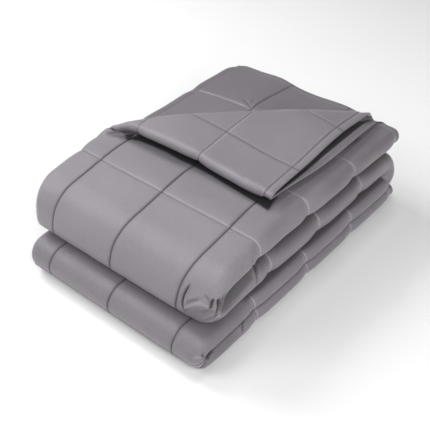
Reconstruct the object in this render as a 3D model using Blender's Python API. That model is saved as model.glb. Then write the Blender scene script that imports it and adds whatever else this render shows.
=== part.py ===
"""A quilted weighted blanket, about 1.4 m by 2.0 m, folded and lying flat with one corner turned back.

The blanket is one sheet: 11 by 16 filled squares inside a thin stitched hem. It is folded in four
across its width, so a strip of four layers is left, and that strip is laid back and forth four
times. The corner of the two uppermost layers is then turned back over a slanting crease.

The mesh starts flat, as triangles on the cloth's own coordinates: u runs across the width and v
along the length. Each point then goes through the same folds as the cloth. +Z is up, the two
rounded front folds face -Y, and the origin is at the bottom centre of the folded pile.
"""

import math

import bpy
import numpy as np
from mathutils import Vector
from mathutils.geometry import delaunay_2d_cdt

# The cloth, in metres.
SQUARE = 0.124
COLUMNS, ROWS = 11, 16
HEM = 0.0124
WIDTH = COLUMNS * SQUARE + 2 * HEM
LENGTH = ROWS * SQUARE + 2 * HEM
LOFT = 0.0076
LOFT_SHARE = 0.82
SEAM_THICKNESS = 0.0030
HEM_THICKNESS = 0.0026
SHOULDER = 0.011

# The fold in four across the width: layer 4 goes right, round the others, back as layer 1 on top,
# left round the edge fold, back as layer 2 and round inside as layer 3. A reach counts layer pitches.
RIGHT_AXIS = 0.1680
LEFT_AXIS = -0.1582
TOP_SEAM_X = -0.1172
TOP_SEAM_COLUMN = 5
OUTER_REACH, INNER_REACH = 1.5, 0.5
THIRD_LAYER_TAKE_UP = 0.942

# The strips, from the top one down. pitch: from layer to layer; shift: sideways.
STRIPS = (
    {"pitch": 0.0087, "shift": 0.0000},
    {"pitch": 0.0112, "shift": -0.0120},
    {"pitch": 0.0069, "shift": 0.0040},
    {"pitch": 0.0069, "shift": 0.0040},
)
# The folds between them. y: the turn's axis; side: -1 at the front, 1 at the back; hollow: the
# space inside the turn; cloth: how much length goes round it; slack: cloth over distance in the
# strip that follows; steps: facets round the turn.
TURNS = (
    {"y": -0.1964, "side": -1, "hollow": 0.0160, "cloth": 0.0992, "slack": 1.04, "steps": 8},
    {"y": 0.2085, "side": 1, "hollow": 0.0, "cloth": 0.0583, "slack": 1.0, "steps": 6},
    {"y": -0.2465, "side": -1, "hollow": 0.0, "cloth": 0.0484, "slack": 1.0, "steps": 6},
)
TOP_HEM_Y = 0.2420
TOP_RUN = TOP_HEM_Y - TURNS[0]["y"]
TOP_PITCH = STRIPS[0]["pitch"]

# How far each layer's end lies from TOP_HEM_Y, where the layer's cloth has slipped in the fold.
SLIPS = (
    {"layer": 4, "left": 0.004, "right": -0.021},
    {"layer": 1, "left": -0.010, "right": -0.024},
    {"layer": 2, "left": -0.010, "right": -0.030},
    {"layer": 3, "left": 0.022, "right": -0.004},
)

# Layer 3's left end splays out to the left towards its hem, over SPLAY_RUN of cloth.
SPLAY, SPLAY_RUN = 0.010, 0.20

# How far the pile's left and right sides are drawn in, at each v. EDGE_REACH is how far that reaches.
LEFT_EDGE = (
    {"v": 0.00, "in": 0.000},
    {"v": 0.44, "in": 0.000},
    {"v": 0.50, "in": 0.014},
    {"v": 0.53, "in": 0.023},
    {"v": 0.56, "in": 0.012},
    {"v": 0.62, "in": 0.000},
    {"v": 1.40, "in": 0.000},
    {"v": 1.50, "in": 0.005},
    {"v": 2.01, "in": 0.005},
)
RIGHT_EDGE = (
    {"v": 0.00, "in": 0.003},
    {"v": 0.30, "in": 0.000},
    {"v": 0.64, "in": 0.000},
    {"v": 1.10, "in": 0.006},
    {"v": 1.48, "in": 0.008},
    {"v": 2.01, "in": 0.008},
)
EDGE_REACH = 0.070
# How much more the left side of the turned-back layers is drawn in.
TURNED_EDGE = (
    {"v": 0.00, "in": 0.0035},
    {"v": 0.28, "in": 0.0035},
    {"v": 0.36, "in": 0.0000},
)

# The turned-back corner: its crease is the line y = x + CREASE_OFFSET.
CREASE_OFFSET = 0.0843
CREASE_STEPS, CREASE_POINTS = 6, 9
# How far the roll's axis stands above the pile, along the crease; it settles to FLAP_LIFT beyond.
ROLL = (
    {"along": -0.170, "lift": 0.0055},
    {"along": -0.040, "lift": 0.0105},
    {"along": 0.100, "lift": 0.0105},
    {"along": 0.276, "lift": 0.0006},
)
FLAP_LIFT = 0.0040
# The left end of the turned-back part is tucked in by TUCK.
TUCK, TUCK_RISE = 0.0105, 0.024
ROOT_HALF = math.sqrt(0.5)

# The top strip sinks onto the one below towards the back.
SINK = 0.0020
SINK_FROM, SINK_TO = 0.092, 0.227

# The pile's top slopes down to the upper front fold, most at its left and middle. Each pair of
# ends is where the slope's share is none and where it is full.
DROOP, DROOP_RIGHT = 0.0140, 0.65
DROOP_Y, DROOP_Z, DROOP_X = (-0.118, -0.235), (0.054, 0.086), (0.200, 0.080)
# The upper front fold bulges forward low down: by none, most and none at these heights.
LIP = 0.0070
LIP_Y, LIP_Z = (-0.150, -0.215), (0.052, 0.068, 0.112)
# The two lowest strips lie askew: further right towards the front.
ASKEW = 0.0080
ASKEW_Y, ASKEW_Z = (0.250, -0.260), (0.066, 0.050)

# The bottom centre of the pile in the measures above, which becomes the origin.
CENTRE = (-0.0002, -0.0042, 0.0)

WRAP_STEPS = {"outer": 5, "edge": 4, "inner": 3}
NEAR_LINE = 0.004
MERGE = 1e-6


def smoothstep(value):
    """0 below 0, 1 above 1, and a smooth rise between."""
    value = np.clip(value, 0.0, 1.0)
    return value * value * (3.0 - 2.0 * value)


def eased(value, rows, place, amount):
    """The named column of a table at a value, with a smooth change from row to row."""
    places = np.array([row[place] for row in rows])
    amounts = np.array([row[amount] for row in rows])
    before = np.clip(np.searchsorted(places, value) - 1, 0, len(rows) - 2)
    share = smoothstep((value - places[before]) / (places[before + 1] - places[before]))
    return amounts[before] + (amounts[before + 1] - amounts[before]) * share


def between(value, ends):
    """Rises smoothly from 0 at the first end to 1 at the second."""
    return smoothstep((value - ends[0]) / (ends[1] - ends[0]))


def layer_spans():
    """The u at which each layer and each wrap between two layers starts and ends."""
    run = RIGHT_AXIS - LEFT_AXIS
    outer = math.pi * OUTER_REACH * TOP_PITCH
    inner = math.pi * INNER_REACH * TOP_PITCH
    top_right = HEM + TOP_SEAM_COLUMN * SQUARE - (RIGHT_AXIS - TOP_SEAM_X)
    top_left = top_right + run
    second_left = top_left + inner
    second_right = second_left + run
    third_right = second_right + inner
    return {
        "layer 4": (0.0, top_right - outer),
        "outer": (top_right - outer, top_right),
        "layer 1": (top_right, top_left),
        "edge": (top_left, second_left),
        "layer 2": (second_left, second_right),
        "inner": (second_right, third_right),
        "layer 3": (third_right, WIDTH),
    }


SPANS = layer_spans()


def across(u):
    """The strip's section at u: x at the axis, reach and height in layer pitches, the face's normal."""
    axis, reach, height = np.zeros_like(u), np.zeros_like(u), np.zeros_like(u)
    normal_x, normal_t = np.zeros_like(u), np.zeros_like(u)

    def flat(name, axis_x, level, facing):
        start, end = SPANS[name]
        inside = (u >= start) & (u <= end)
        axis[inside] = axis_x(u[inside] - start)
        height[inside] = level
        normal_t[inside] = facing

    def wrap(name, axis_x, side, centre, radius, turn):
        start, end = SPANS[name]
        inside = (u > start) & (u < end)
        angle = math.pi * (u[inside] - start) / (end - start)
        axis[inside] = axis_x
        reach[inside] = side * radius * np.sin(angle)
        height[inside] = centre - turn * radius * np.cos(angle)
        facing = 1.0 if turn == side else -1.0
        normal_x[inside] = side * facing * np.sin(angle)
        normal_t[inside] = -turn * facing * np.cos(angle)

    third_share = THIRD_LAYER_TAKE_UP
    start_of_layer_4 = RIGHT_AXIS - SPANS["layer 4"][1]
    flat("layer 4", lambda run: start_of_layer_4 + run, -OUTER_REACH, -1.0)
    flat("layer 1", lambda run: RIGHT_AXIS - run, OUTER_REACH, 1.0)
    flat("layer 2", lambda run: LEFT_AXIS + run, INNER_REACH, -1.0)
    flat("layer 3", lambda run: RIGHT_AXIS - third_share * run, -INNER_REACH, 1.0)
    wrap("outer", RIGHT_AXIS, 1.0, 0.0, OUTER_REACH, 1.0)
    wrap("edge", LEFT_AXIS, -1.0, 1.0, INNER_REACH, -1.0)
    wrap("inner", RIGHT_AXIS, 1.0, 0.0, INNER_REACH, -1.0)
    return axis, reach, height, normal_x, normal_t


def drawn_in(x, v, turned):
    """How far cloth at x is moved sideways, where the pile's sides are drawn in."""
    leftmost = smoothstep((LEFT_AXIS + EDGE_REACH - x) / EDGE_REACH)
    rightmost = smoothstep((x - RIGHT_AXIS + EDGE_REACH) / EDGE_REACH)
    left = eased(v, LEFT_EDGE, "v", "in") + eased(v, TURNED_EDGE, "v", "in") * turned
    return left * leftmost - eased(v, RIGHT_EDGE, "v", "in") * rightmost


def splayed(u, v):
    """How far cloth on layer 3 lies to the left of its straight run."""
    start, end = SPANS["layer 3"]
    across_layer = np.clip((u - start) / (end - start), 0.0, 1.0)
    return SPLAY * across_layer * np.clip(1 - v / SPLAY_RUN, 0.0, 1.0)


def slip(u):
    """How far the cloth at u has slipped along the top strip, at its end."""
    places, amounts = [], []
    for row in SLIPS:
        places += SPANS[f"layer {row['layer']}"]
        rightwards = row["layer"] in (4, 2)
        amounts += [row["left"], row["right"]] if rightwards else [row["right"], row["left"]]
    return np.interp(u, places, amounts)


def strip_heights():
    """The height of each strip's middle, worked out from the floor up."""
    bottom = STRIPS[-1]["pitch"]
    heights = [OUTER_REACH * bottom + min(LOFT, LOFT_SHARE * bottom) / 2]
    for above, below, turn in zip(STRIPS[-2::-1], STRIPS[:0:-1], TURNS[::-1]):
        heights.append(heights[-1] + 2 * below["pitch"] + turn["hollow"] + 2 * above["pitch"])
    return heights[::-1]


def path_sections():
    """The strips and turns in order along v, each with where its cloth starts and ends."""
    heights = strip_heights()
    sections, v, y = [], 0.0, TOP_HEM_Y
    slack = 1.0
    for strip, below, height, turn in zip(STRIPS, STRIPS[1:], heights, TURNS):
        end = v + abs(turn["y"] - y) * slack
        ends = {"v": (v, end), "y": (y, turn["y"])}
        sections.append({"kind": "strip", **ends, "z": height, "strip": strip})
        v, y, slack = end, turn["y"], turn["slack"]
        centre = height - 2 * strip["pitch"] - turn["hollow"] / 2
        end = v + turn["cloth"]
        sections.append(
            {"kind": "turn", "v": (v, end), "centre": (y, centre), "turn": turn, "from": strip, "to": below}
        )
        v = end
    reach = y + (LENGTH - v)
    ends = {"v": (v, LENGTH), "y": (y, reach)}
    sections.append({"kind": "strip", **ends, "z": heights[-1], "strip": STRIPS[-1]})
    return sections


SECTIONS = path_sections()


def along(v):
    """The pile's side view at v: y and z of the strip's middle, the way up to layer 1, pitch and shift."""
    y, z, up_y, up_z = (np.zeros_like(v) for _ in range(4))
    pitch, shift = np.zeros_like(v), np.zeros_like(v)
    up = 1.0
    for section in SECTIONS:
        start, end = section["v"]
        inside = (v >= start) & (v <= end)
        share = (v[inside] - start) / (end - start)
        if section["kind"] == "strip":
            first, last = section["y"]
            y[inside] = first + (last - first) * share
            z[inside], up_z[inside], up_y[inside] = section["z"], up, 0.0
            pitch[inside], shift[inside] = section["strip"]["pitch"], section["strip"]["shift"]
            continue
        turn, above, below = section["turn"], section["from"], section["to"]
        angle, ease = math.pi * share, smoothstep(share)
        pitch[inside] = above["pitch"] + (below["pitch"] - above["pitch"]) * ease
        shift[inside] = above["shift"] + (below["shift"] - above["shift"]) * ease
        radius = turn["hollow"] / 2 + 2 * pitch[inside]
        out_y, out_z = turn["side"] * np.sin(angle), np.cos(angle)
        y[inside] = section["centre"][0] + radius * out_y
        z[inside] = section["centre"][1] + radius * out_z
        up_y[inside], up_z[inside] = up * out_y, up * out_z
        up = -up
    return y, z, up_y, up_z, pitch, shift


def turn_back(x, y, z, top):
    """Rolls what lies beyond the crease up and over, back onto the pile."""
    beyond = (y - x - CREASE_OFFSET) * ROOT_HALF
    along_crease = (x + y) * ROOT_HALF
    lift = eased(along_crease, ROLL, "along", "lift")
    radius = lift + TOP_PITCH
    start = -math.pi * radius / 2
    depth = top + lift - z
    angle = np.clip((beyond - start) / radius, 0.0, math.pi)
    past = np.maximum(beyond - start - math.pi * radius, 0.0)
    settled = np.maximum(lift - FLAP_LIFT, 0.0) * smoothstep(past / SQUARE)
    rolled = beyond > start
    new_beyond = np.where(rolled, start + depth * np.sin(angle) - past, beyond)
    new_z = np.where(rolled, top + lift - depth * np.cos(angle) - 2 * settled, z)
    new_x = (along_crease - new_beyond) * ROOT_HALF - CREASE_OFFSET / 2
    new_y = (along_crease + new_beyond) * ROOT_HALF + CREASE_OFFSET / 2
    raised = smoothstep((new_z - top) / TUCK_RISE)
    tuck = TUCK * raised * smoothstep((LEFT_AXIS + EDGE_REACH - new_x) / EDGE_REACH)
    return new_x + tuck, new_y, new_z


def turned_share(u, v):
    """1 on the two layers that the corner turns back, 0 on the others, and between in their wraps."""
    outer_start, outer_end = SPANS["outer"]
    inner_start, inner_end = SPANS["inner"]
    rising = smoothstep((u - outer_start) / (outer_end - outer_start))
    falling = smoothstep((inner_end - u) / (inner_end - inner_start))
    return np.where(v < TOP_RUN, rising * falling, 0.0)


def settled(x, y, z):
    """Where a place of the pile ends up once the pile has settled."""
    level = DROOP_RIGHT + (1 - DROOP_RIGHT) * between(x, DROOP_X)
    droop = DROOP * level * between(y, DROOP_Y) * between(z, DROOP_Z)
    below, peak, above = LIP_Z
    lip = LIP * between(y, LIP_Y) * between(z, (below, peak)) * between(z, (above, peak))
    askew = ASKEW * np.clip((y - ASKEW_Y[0]) / (ASKEW_Y[1] - ASKEW_Y[0]), 0.0, 1.0)
    return x + askew * between(z, ASKEW_Z), y - lip, z - droop


def to_line(value, origin, count):
    """How far each value is from the nearest of the seams, which start at origin."""
    place = (value - origin) / SQUARE
    nearest = np.clip(np.round(place), 0, count)
    return np.abs(place - nearest) * SQUARE


def thickness(u, v):
    """The quilt's thickness: thin at its seams, full past their shoulders, thinnest at the hem's edge."""
    nearest = np.minimum(to_line(u, HEM, COLUMNS), to_line(v, HEM, ROWS))
    puff = SEAM_THICKNESS + (LOFT - SEAM_THICKNESS) * smoothstep(nearest / SHOULDER)
    margin = np.minimum(np.minimum(u, WIDTH - u), np.minimum(v, LENGTH - v))
    hem = HEM_THICKNESS + (SEAM_THICKNESS - HEM_THICKNESS) * smoothstep(margin / HEM)
    return np.where(margin < HEM, hem, puff)


def fold(u, v, face):
    """Where the cloth at (u, v) ends up. face is 1 for its outer face and -1 for its inner one."""
    axis, reach, height, normal_x, normal_t = across(np.clip(u, 0.0, WIDTH))
    y, z, up_y, up_z, pitch, shift = along(np.clip(v, 0.0, LENGTH))
    y = y + slip(u) * np.clip(1 - v / TOP_RUN, 0.0, 1.0)
    squeeze = np.minimum(1.0, LOFT_SHARE * pitch / LOFT)
    offset = face * thickness(u, v) * squeeze / 2
    rise = height * pitch + offset * normal_t
    x = axis + reach * pitch + offset * normal_x + shift
    share = turned_share(u, v)
    x = x + drawn_in(x - shift, v, share) - splayed(u, v)
    y, z = y + up_y * rise, z + up_z * rise
    turned = turn_back(x, y, z, SECTIONS[0]["z"] + 2 * TOP_PITCH)
    x, y, z = (old + (new - old) * share for new, old in zip(turned, (x, y, z)))
    sinking = np.where(v < TOP_RUN, SINK, 0.0)
    z = z - sinking * smoothstep((y - SINK_FROM) / (SINK_TO - SINK_FROM))
    return np.stack(settled(x, y, z), axis=1) - CENTRE


def wrap_columns():
    """The u of each facet line round the folds across the width."""
    lines = []
    for name, steps in WRAP_STEPS.items():
        lines += list(np.linspace(*SPANS[name], steps + 1))
    return lines


def turn_rows():
    """The v of each facet line round the turns between strips."""
    lines = []
    for section in SECTIONS:
        if section["kind"] == "turn":
            lines += list(np.linspace(*section["v"], section["turn"]["steps"] + 1))
    return lines


def v_at(u, y):
    """The v whose cloth lies at y on the top strip."""
    amount = slip(np.array([u]))[0]
    return (TOP_HEM_Y + amount - y) / (1 + amount / TOP_RUN)


def crease_y(x, angle):
    """The y at which cloth that starts at x has gone round the roll by this angle."""
    y = x + CREASE_OFFSET
    for _ in range(4):
        radius = TOP_PITCH + eased((x + y) * ROOT_HALF, ROLL, "along", "lift")
        y = x + CREASE_OFFSET + radius * (angle - math.pi / 2) / ROOT_HALF
    return y


def crease_lines():
    """The facet lines round the crease, from the hem of layer 1 round the edge fold to layer 2's hem."""
    lines = []
    for angle in np.linspace(0.0, math.pi, CREASE_STEPS + 1):
        points = []
        for layer, x_start, direction in (("layer 1", RIGHT_AXIS, -1), ("layer 2", LEFT_AXIS, 1)):
            start, end = SPANS[layer]
            for u in np.linspace(start, end, CREASE_POINTS):
                x = x_start + direction * (u - start)
                points.append((u, v_at(u, crease_y(x, angle))))
        lines.append(points)
    return lines


def clipped(points):
    """The runs of a line that lie on the cloth, with a point added where it crosses the top hem."""
    runs, run = [], []
    for here, after in zip(points, points[1:] + points[-1:]):
        if here[1] >= 0:
            run.append(here)
        if (here[1] >= 0) != (after[1] >= 0):
            share = here[1] / (here[1] - after[1])
            run.append((here[0] + (after[0] - here[0]) * share, 0.0))
            if after[1] < 0:
                runs.append(run)
                run = []
    return runs + [run] if run else runs


def clear(value, lines):
    return all(abs(value - line) > NEAR_LINE for line in lines)


def flat_lines():
    """Every line that the flat mesh has to follow, as pairs of ends on the cloth."""
    seam_u = [HEM + column * SQUARE for column in range(COLUMNS + 1)]
    seam_v = [HEM + row * SQUARE for row in range(ROWS + 1)]
    wraps, turns = wrap_columns(), turn_rows()
    lines = [((u, 0.0), (u, LENGTH)) for u in [0.0, WIDTH] + seam_u + wraps]
    lines += [((0.0, v), (WIDTH, v)) for v in [0.0, LENGTH] + seam_v + turns]
    for left, right in zip(seam_u, seam_u[1:]):
        for near, far in zip(seam_v, seam_v[1:]):
            low, high = near + SHOULDER, far - SHOULDER
            for u in (left + SHOULDER, right - SHOULDER):
                if clear(u, wraps):
                    lines.append(((u, low), (u, high)))
            for v in (low, high):
                if clear(v, turns):
                    lines.append(((left + SHOULDER, v), (right - SHOULDER, v)))
    for crease in crease_lines():
        for run in clipped(crease):
            lines += list(zip(run, run[1:]))
    return lines


def flat_mesh():
    """The flat cloth in triangles: points as (u, v) rows, and faces."""
    points, edges = [], []
    for first, last in flat_lines():
        edges.append((len(points), len(points) + 1))
        points += [Vector(first), Vector(last)]
    placed, _, faces, _, _, _ = delaunay_2d_cdt(points, edges, [], 0, MERGE, False)
    return np.array([tuple(point) for point in placed]), np.array(faces)


def edge_loop(faces):
    """The sheet's outline, as directed edges of its triangles that no other triangle shares."""
    directed = {(face[k], face[(k + 1) % 3]) for face in faces for k in range(3)}
    return [edge for edge in directed if (edge[1], edge[0]) not in directed]


def fabric():
    material = bpy.data.materials.new("grey cotton")
    material.use_nodes = True
    shader = material.node_tree.nodes["Principled BSDF"]
    shader.inputs["Base Color"].default_value = (0.27, 0.25, 0.275, 1.0)
    shader.inputs["Roughness"].default_value = 0.85
    shader.inputs["Metallic"].default_value = 0.0
    return material


def blanket():
    """The whole sheet as one closed body: its two faces, and a narrow wall round its outline."""
    flat, faces = flat_mesh()
    u, v = flat[:, 0], flat[:, 1]
    points = np.concatenate([fold(u, v, 1.0), fold(u, v, -1.0)])
    count = len(flat)
    triangles = [tuple(int(corner) for corner in face) for face in faces]
    triangles += [tuple(int(corner) + count for corner in face[::-1]) for face in faces]
    walls = [(int(b), int(a), int(a) + count, int(b) + count) for a, b in edge_loop(faces)]
    mesh = bpy.data.meshes.new("weighted_blanket")
    mesh.from_pydata([tuple(point) for point in points], [], triangles + walls)
    mesh.shade_smooth()
    mesh.set_sharp_from_angle(angle=math.radians(40))
    mesh.materials.append(fabric())
    sheet = bpy.data.objects.new("weighted_blanket", mesh)
    bpy.context.collection.objects.link(sheet)
    return sheet


def main():
    for old in list(bpy.data.objects):
        bpy.data.objects.remove(old, do_unlink=True)
    blanket()


main()
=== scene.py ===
"""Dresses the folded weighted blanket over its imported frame.

The cloth is made flat first, as a fine grid on its own coordinates: u runs across the width and v
along the length. A node tree gives the flat cloth its quilting and another sews the stitches. Both
are then taken through the folds of the pile: the fold in four across the width, the strip laid
back and forth, and the corner turned back over its crease.
"""

import logging
import math
from dataclasses import dataclass
from enum import Enum
from typing import Optional, Sequence, Union

import bmesh
import bpy
import numpy as np
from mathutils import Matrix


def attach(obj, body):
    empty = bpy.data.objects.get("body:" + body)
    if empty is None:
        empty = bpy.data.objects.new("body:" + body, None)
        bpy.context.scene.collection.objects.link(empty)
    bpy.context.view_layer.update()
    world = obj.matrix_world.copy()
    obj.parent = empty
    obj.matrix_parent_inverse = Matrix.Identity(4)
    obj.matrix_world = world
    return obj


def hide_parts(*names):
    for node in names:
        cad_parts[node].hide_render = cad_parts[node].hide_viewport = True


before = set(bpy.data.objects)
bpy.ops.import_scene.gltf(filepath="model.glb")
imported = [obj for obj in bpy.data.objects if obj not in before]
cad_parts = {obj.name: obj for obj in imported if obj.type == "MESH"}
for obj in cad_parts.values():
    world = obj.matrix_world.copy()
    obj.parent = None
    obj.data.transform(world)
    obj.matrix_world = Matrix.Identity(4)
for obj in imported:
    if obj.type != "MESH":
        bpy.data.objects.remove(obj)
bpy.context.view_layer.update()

LOG = logging.getLogger("blanket")
ROOT_HALF = math.sqrt(0.5)
FAR_OFF = 1e9
Array = np.ndarray
Pair = tuple[float, float]
Triple = tuple[float, float, float]
Line = tuple[Pair, ...]
Tree = bpy.types.NodeTree
Socket = bpy.types.NodeSocket
Node = bpy.types.Node
Mesh = bpy.types.Mesh
Piece = bpy.types.Object
Material = bpy.types.Material


class Face(Enum):
    """The two faces of the cloth."""

    OUTER = 1.0
    INNER = -1.0


class Layer(Enum):
    """The layers and wraps of the fold in four, in the order in which u meets them."""

    FOURTH = "layer 4"
    OUTER_WRAP = "outer wrap"
    FIRST = "layer 1"
    EDGE_WRAP = "edge wrap"
    SECOND = "layer 2"
    INNER_WRAP = "inner wrap"
    THIRD = "layer 3"


def smoothstep(value: Array) -> Array:
    """Rises smoothly from 0 to 1.

    Args:
        value: where it is read; below 0 it gives 0 and above 1 it gives 1.

    Returns:
        The eased value.
    """
    value = np.clip(value, 0.0, 1.0)
    return value * value * (3.0 - 2.0 * value)


def eased(value: Array, rows: Sequence[Pair]) -> Array:
    """Reads a table of (place, amount) rows, with a smooth change from row to row.

    Args:
        value: the places at which it is read.
        rows: the table, in ascending order of place.

    Returns:
        The amount at each place.
    """
    places, amounts = (np.array(column) for column in zip(*rows))
    before = np.clip(np.searchsorted(places, value) - 1, 0, len(rows) - 2)
    share = smoothstep((value - places[before]) / (places[before + 1] - places[before]))
    return amounts[before] + (amounts[before + 1] - amounts[before]) * share


def between(value: Array, ends: Pair) -> Array:
    """Rises smoothly from 0 at the first end to 1 at the second."""
    return smoothstep((value - ends[0]) / (ends[1] - ends[0]))


@dataclass(frozen=True)
class Cloth:
    """The flat quilted sheet, in metres."""

    square: float = 0.124
    columns: int = 11
    rows: int = 16
    hem: float = 0.0124
    loft: float = 0.0076
    loft_share: float = 0.82
    seam_thickness: float = 0.0030
    hem_thickness: float = 0.0028

    @property
    def width(self) -> float:
        """The sheet's size along u."""
        return self.columns * self.square + 2 * self.hem

    @property
    def length(self) -> float:
        """The sheet's size along v."""
        return self.rows * self.square + 2 * self.hem

    def seams(self, count: int) -> Array:
        """The places of the seams along one axis, from hem to hem.

        Args:
            count: how many squares lie along that axis.

        Returns:
            One place more than there are squares.
        """
        return self.hem + self.square * np.arange(count + 1)


@dataclass(frozen=True)
class BookFold:
    """The fold in four across the width. Reaches and heights count layer pitches."""

    cloth: Cloth
    pitch: float = 0.0087
    right_axis: float = 0.1680
    left_axis: float = -0.1582
    top_seam_x: float = -0.1172
    top_seam_column: int = 5
    outer_reach: float = 1.5
    inner_reach: float = 0.5
    third_take_up: float = 0.942

    def spans(self) -> dict[Layer, Pair]:
        """The u at which each layer and wrap starts and ends."""
        run = self.right_axis - self.left_axis
        outer = math.pi * self.outer_reach * self.pitch
        inner = math.pi * self.inner_reach * self.pitch
        seam = self.cloth.hem + self.top_seam_column * self.cloth.square
        first = seam - (self.right_axis - self.top_seam_x)
        lengths = (first - outer, outer, run, inner, run, inner)
        ends = [0.0, *np.cumsum(lengths), self.cloth.width]
        return {layer: (ends[k], ends[k + 1]) for k, layer in enumerate(Layer)}

    def section(self, u: Array) -> tuple[Array, Array, Array, Array, Array]:
        """The strip's cross-section.

        Args:
            u: places across the cloth.

        Returns:
            x at the axis, reach and height in layer pitches, and the face's normal across and up.
        """
        u = np.clip(u, 0.0, self.cloth.width)
        spans = self.spans()
        axis, reach, height, normal_x, normal_t = (np.zeros_like(u) for _ in range(5))

        def flat(layer: Layer, start_x: float, take_up: float, level: float, facing: float) -> None:
            """Lays one layer flat at its level."""
            start, end = spans[layer]
            inside = (u >= start) & (u <= end)
            axis[inside] = start_x + take_up * (u[inside] - start)
            height[inside] = level
            normal_t[inside] = facing

        def wrap(
            layer: Layer, axis_x: float, side: float, centre: float, radius: float, turn: float
        ) -> None:
            """Takes the cloth half round an axis."""
            start, end = spans[layer]
            inside = (u > start) & (u < end)
            angle = math.pi * (u[inside] - start) / (end - start)
            facing = 1.0 if turn == side else -1.0
            axis[inside] = axis_x
            reach[inside] = side * radius * np.sin(angle)
            height[inside] = centre - turn * radius * np.cos(angle)
            normal_x[inside] = side * facing * np.sin(angle)
            normal_t[inside] = -turn * facing * np.cos(angle)

        outer, inner = self.outer_reach, self.inner_reach
        flat(Layer.FOURTH, self.right_axis - spans[Layer.FOURTH][1], 1.0, -outer, -1.0)
        flat(Layer.FIRST, self.right_axis, -1.0, outer, 1.0)
        flat(Layer.SECOND, self.left_axis, 1.0, inner, -1.0)
        flat(Layer.THIRD, self.right_axis, -self.third_take_up, -inner, 1.0)
        wrap(Layer.OUTER_WRAP, self.right_axis, 1.0, 0.0, outer, 1.0)
        wrap(Layer.EDGE_WRAP, self.left_axis, -1.0, 1.0, inner, -1.0)
        wrap(Layer.INNER_WRAP, self.right_axis, 1.0, 0.0, inner, -1.0)
        return axis, reach, height, normal_x, normal_t


@dataclass(frozen=True)
class Strip:
    """One run of the folded strip: its pitch from layer to layer, and its shift sideways."""

    pitch: float
    shift: float


@dataclass(frozen=True)
class Turn:
    """A fold between two strips. slack is cloth over distance in the strip that follows it."""

    y: float
    side: float
    hollow: float
    cloth: float
    slack: float


@dataclass(frozen=True)
class Section:
    """A stretch of the strip along v: one strip, or one turn when turn is set."""

    v: Pair
    y: Pair
    z: float
    above: Strip
    below: Optional[Strip] = None
    turn: Optional[Turn] = None


@dataclass(frozen=True)
class Concertina:
    """The strip laid back and forth, from the top one down."""

    cloth: Cloth
    strips: tuple[Strip, ...] = (
        Strip(0.0087, 0.0),
        Strip(0.0112, -0.0120),
        Strip(0.0069, 0.0040),
        Strip(0.0069, 0.0040),
    )
    turns: tuple[Turn, ...] = (
        Turn(-0.1964, -1.0, 0.0160, 0.0992, 1.04),
        Turn(0.2085, 1.0, 0.0, 0.0583, 1.0),
        Turn(-0.2465, -1.0, 0.0, 0.0484, 1.0),
    )
    top_hem_y: float = 0.2420
    outer_reach: float = 1.5

    @property
    def top_run(self) -> float:
        """How much cloth lies in the top strip."""
        return self.top_hem_y - self.turns[0].y

    def heights(self) -> list[float]:
        """The height of each strip's middle, worked out from the floor up."""
        bottom = self.strips[-1].pitch
        thickness = min(self.cloth.loft, self.cloth.loft_share * bottom)
        found = [self.outer_reach * bottom + thickness / 2]
        for above, below, turn in zip(self.strips[-2::-1], self.strips[:0:-1], self.turns[::-1]):
            found.append(found[-1] + 2 * below.pitch + turn.hollow + 2 * above.pitch)
        return found[::-1]

    def sections(self) -> list[Section]:
        """The strips and turns in order along v."""
        heights = self.heights()
        found: list[Section] = []
        v, y, slack = 0.0, self.top_hem_y, 1.0
        for above, below, height, turn in zip(self.strips, self.strips[1:], heights, self.turns):
            end = v + abs(turn.y - y) * slack
            found.append(Section((v, end), (y, turn.y), height, above))
            centre = height - 2 * above.pitch - turn.hollow / 2
            v, y, slack = end + turn.cloth, turn.y, turn.slack
            found.append(Section((end, v), (y, y), centre, above, below, turn))
        reach = y + self.cloth.length - v
        found.append(Section((v, self.cloth.length), (y, reach), heights[-1], self.strips[-1]))
        return found

    def path(self, v: Array) -> tuple[Array, Array, Array, Array, Array, Array]:
        """The pile's side view.

        Args:
            v: places along the cloth.

        Returns:
            y and z of the strip's middle, the way up to layer 1 as y and z, pitch and shift.
        """
        v = np.clip(v, 0.0, self.cloth.length)
        y, z, up_y, up_z, pitch, shift = (np.zeros_like(v) for _ in range(6))
        up = 1.0
        for part in self.sections():
            start, end = part.v
            inside = (v >= start) & (v <= end)
            share = (v[inside] - start) / (end - start)
            if part.turn is None:
                y[inside] = part.y[0] + (part.y[1] - part.y[0]) * share
                z[inside], up_y[inside], up_z[inside] = part.z, 0.0, up
                pitch[inside], shift[inside] = part.above.pitch, part.above.shift
                continue
            angle, ease = math.pi * share, smoothstep(share)
            pitch[inside] = part.above.pitch + (part.below.pitch - part.above.pitch) * ease
            shift[inside] = part.above.shift + (part.below.shift - part.above.shift) * ease
            radius = part.turn.hollow / 2 + 2 * pitch[inside]
            out_y, out_z = part.turn.side * np.sin(angle), np.cos(angle)
            y[inside] = part.y[0] + radius * out_y
            z[inside] = part.z + radius * out_z
            up_y[inside], up_z[inside] = up * out_y, up * out_z
            up = -up
        return y, z, up_y, up_z, pitch, shift


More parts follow.
